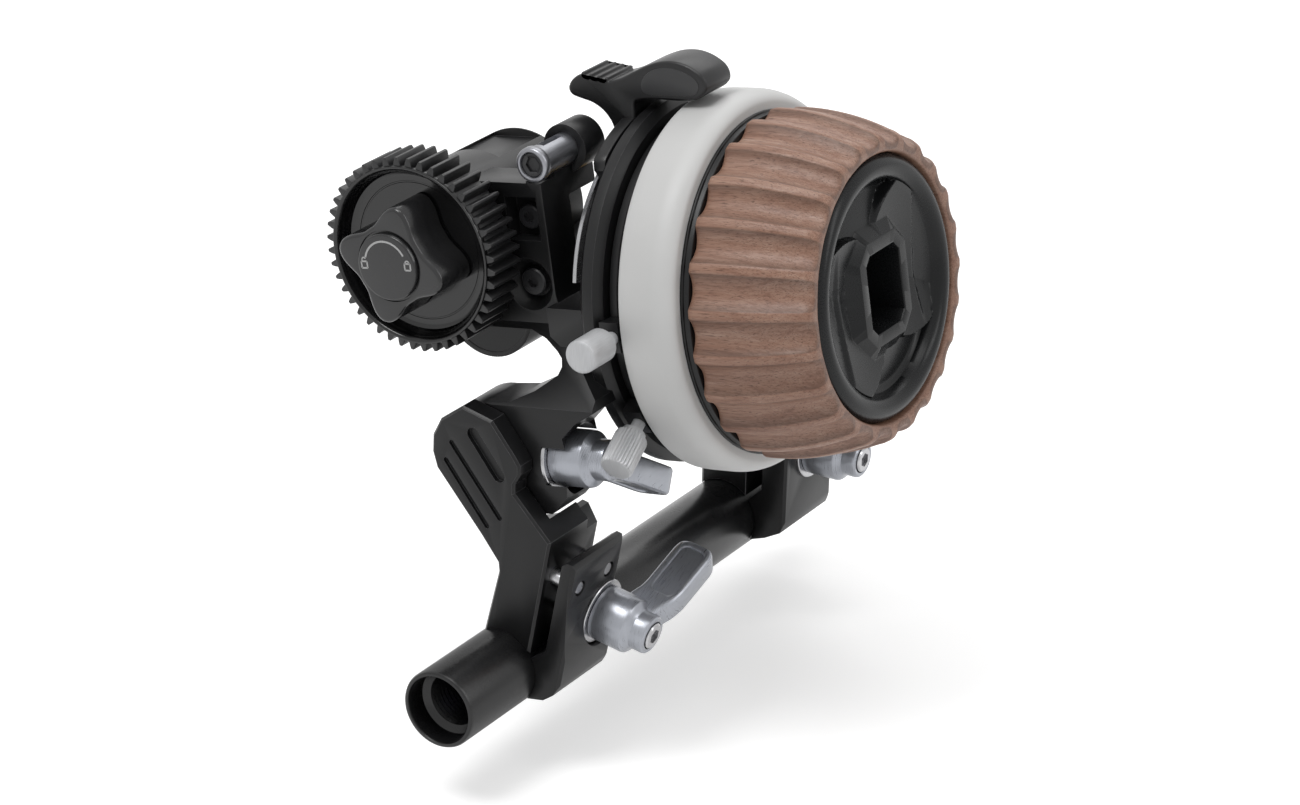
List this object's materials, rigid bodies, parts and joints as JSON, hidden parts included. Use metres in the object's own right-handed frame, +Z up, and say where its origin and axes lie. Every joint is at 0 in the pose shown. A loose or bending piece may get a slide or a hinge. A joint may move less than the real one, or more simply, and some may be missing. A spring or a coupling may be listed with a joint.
{
  "type": "follow focus unit",
  "caption": "Follow focus unit: fluted wooden handwheel driving a focus gear through a gear case, on a swing arm clamped to a support rod with wing levers.",
  "frame": {"origin": "mouth centre of the threaded mounting hole in the left face of the rear rod clamp", "axes": "+Y along the support rod towards the rear clamp end, +Z up, +X towards the handwheel"},
  "size_m": [0.1007, 0.1271, 0.1172],
  "materials": {
    "black_aluminium": "satin black anodised",
    "black_rod": "satin black anodised",
    "silver_lever": "fine machined, satin",
    "steel": "turned",
    "black_screw": "black oxide",
    "brass": "turned",
    "bearing_steel": "ground",
    "inner_gear": "cut teeth",
    "drive_gear_black": "moulded, matte",
    "knob_black": "moulded, satin gloss",
    "cap_black": "moulded, semi gloss",
    "ring_light": "matte, writable",
    "walnut": "oiled walnut",
    "pointer_black": "moulded, satin",
    "stop_silver": "knurled, satin",
    "pin_silver": "turned, satin",
    "hub_aluminium": "turned"
  },
  "bodies": {
    "rear_clamp": {"rear_clamp_body": "black_aluminium", "rear_guide_pins": "steel"},
    "rear_jaw": {"rear_clamp_jaw": "black_aluminium"},
    "rear_lever": {"rear_lever": "silver_lever", "rear_lever_stud": "steel", "rear_lever_screw": "steel", "rear_lever_washer": "steel"},
    "rod": {"support_rod": "black_rod"},
    "arm": {"swing_arm": "black_aluminium", "front_guide_pins": "steel", "pivot_shaft": "steel", "pivot_washer": "steel", "pivot_screw": "steel"},
    "front_jaw": {"front_clamp_jaw": "black_aluminium"},
    "front_lever": {"front_lever": "silver_lever", "front_lever_stud": "steel", "front_lever_screw": "steel", "front_lever_washer": "steel"},
    "head": {"main_bracket": "black_aluminium", "gearcase": "black_aluminium", "bearing_plate": "black_aluminium", "rear_cover": "black_aluminium", "cover_screws": "black_screw", "bracket_screws": "black_screw", "tube_nut": "brass", "brake_pad": "brass", "wheel_bearing_inner": "bearing_steel", "wheel_bearing_outer": "bearing_steel", "counter_bearings": "bearing_steel", "drive_bearings": "bearing_steel", "release_spring": "steel", "index_clip": "steel"},
    "head_lever": {"head_lever": "silver_lever", "head_lever_stud": "steel", "head_lever_screw": "steel", "head_lever_washer": "steel"},
    "wheel": {"wheel_shaft": "steel", "wheel_bevel_gear": "inner_gear", "wheel_hub": "hub_aluminium", "marking_ring": "ring_light", "grip_collar": "black_aluminium", "wood_grip": "walnut", "front_cap": "cap_black", "wheel_screw": "steel"},
    "counter": {"counter_shaft": "steel", "counter_bevel_gear": "inner_gear", "counter_spur_gear": "inner_gear"},
    "drive": {"drive_shaft": "steel", "drive_spur_gear": "inner_gear", "drive_gear": "drive_gear_black"},
    "lock_knob": {"lock_knob": "knob_black"},
    "stop_a": {"stop_ring_a": "black_aluminium"},
    "stop_a_screw": {"stop_screw_a": "stop_silver"},
    "stop_b": {"stop_ring_b": "black_aluminium"},
    "stop_b_screw": {"stop_screw_b": "stop_silver"},
    "index": {"index_lever": "pointer_black"},
    "release_pin": {"release_pin": "pin_silver"}
  },
  "joints": [
    {"name": "rear_lever_turn", "type": "hinge", "parent": "rear_jaw", "child": "rear_lever", "pos_m": [0.0196, 0.00075, -0.012], "axis": [1, 0, 0], "range_deg": [0, 270]},
    {"name": "rear_jaw_slide", "type": "slide", "parent": "rear_clamp", "child": "rear_jaw", "axis": [1, 0, 0], "range_m": [0, 0.0006]},
    {"name": "rod_turn", "type": "hinge", "parent": "rear_clamp", "child": "rod", "pos_m": [0.0054, -0.10925, -0.027], "axis": [0, 1, 0], "range_deg": [-15, 15]},
    {"name": "arm_slide", "type": "slide", "parent": "rod", "child": "arm", "axis": [0, 1, 0], "range_m": [-0.016, 0.01]},
    {"name": "front_lever_turn", "type": "hinge", "parent": "front_jaw", "child": "front_lever", "pos_m": [0.01855, -0.07575, -0.01693], "axis": [0.9848, 0, -0.1736], "range_deg": [0, 270]},
    {"name": "front_jaw_slide", "type": "slide", "parent": "arm", "child": "front_jaw", "axis": [0.9848, 0, -0.1736], "range_m": [0, 0.0006]},
    {"name": "head_tilt", "type": "hinge", "parent": "arm", "child": "head", "pos_m": [-0.00073, -0.07875, 0.01294], "axis": [0, 1, 0], "range_deg": [-45, 4]},
    {"name": "head_lever_turn", "type": "hinge", "parent": "head", "child": "head_lever", "pos_m": [0.01117, -0.07875, 0.01342], "axis": [0.9848, 0, 0.1736], "range_deg": [-25, 0]},
    {"name": "wheel_spin", "type": "hinge", "parent": "head", "child": "wheel", "pos_m": [0.02404, -0.04524, 0.04004], "axis": [0.9848, 0, 0.1736], "continuous": true},
    {"name": "counter_spin", "type": "hinge", "parent": "head", "child": "counter", "pos_m": [-0.0116, -0.05925, 0.03375], "axis": [0, 1, 0], "continuous": true},
    {"name": "drive_spin", "type": "hinge", "parent": "head", "child": "drive", "pos_m": [-0.01884, -0.05925, 0.04712], "axis": [0, 1, 0], "continuous": true},
    {"name": "lock_knob_turn", "type": "hinge", "parent": "drive", "child": "lock_knob", "pos_m": [-0.01884, -0.08725, 0.04712], "axis": [0, 1, 0], "range_deg": [0, 90]},
    {"name": "stop_a_turn", "type": "hinge", "parent": "head", "child": "stop_a", "pos_m": [0.02247, -0.04524, 0.03976], "axis": [0.9848, 0, 0.1736], "range_deg": [-60, 8]},
    {"name": "stop_a_screw_turn", "type": "hinge", "parent": "stop_a", "child": "stop_a_screw", "pos_m": [0.02247, -0.08124, 0.03976], "axis": [0, -1, 0], "range_deg": [0, 180]},
    {"name": "stop_b_turn", "type": "hinge", "parent": "head", "child": "stop_b", "pos_m": [0.02247, -0.04524, 0.03976], "axis": [0.9848, 0, 0.1736], "range_deg": [-8, 90]},
    {"name": "stop_b_screw_turn", "type": "hinge", "parent": "stop_b", "child": "stop_b_screw", "pos_m": [0.02565, -0.07623, 0.02171], "axis": [0.0884, -0.8607, -0.5013], "range_deg": [0, 180]},
    {"name": "index_turn", "type": "hinge", "parent": "head", "child": "index", "pos_m": [0.0137, -0.04524, 0.03821], "axis": [0.9848, 0, 0.1736], "range_deg": [-25, 3]},
    {"name": "release_press", "type": "slide", "parent": "head", "child": "release_pin", "axis": [0, 1, 0], "range_m": [0, 0.003], "stiffness_N_per_m": 500, "springref_m": -0.003}
  ],
  "couplings": [
    {"joint": "rear_lever_turn", "follows": "rear_jaw_slide", "rad_per_m": 7854},
    {"joint": "front_lever_turn", "follows": "front_jaw_slide", "rad_per_m": 7854},
    {"joint": "counter_spin", "follows": "wheel_spin", "ratio": 1},
    {"joint": "drive_spin", "follows": "wheel_spin", "ratio": -1}
  ]
}
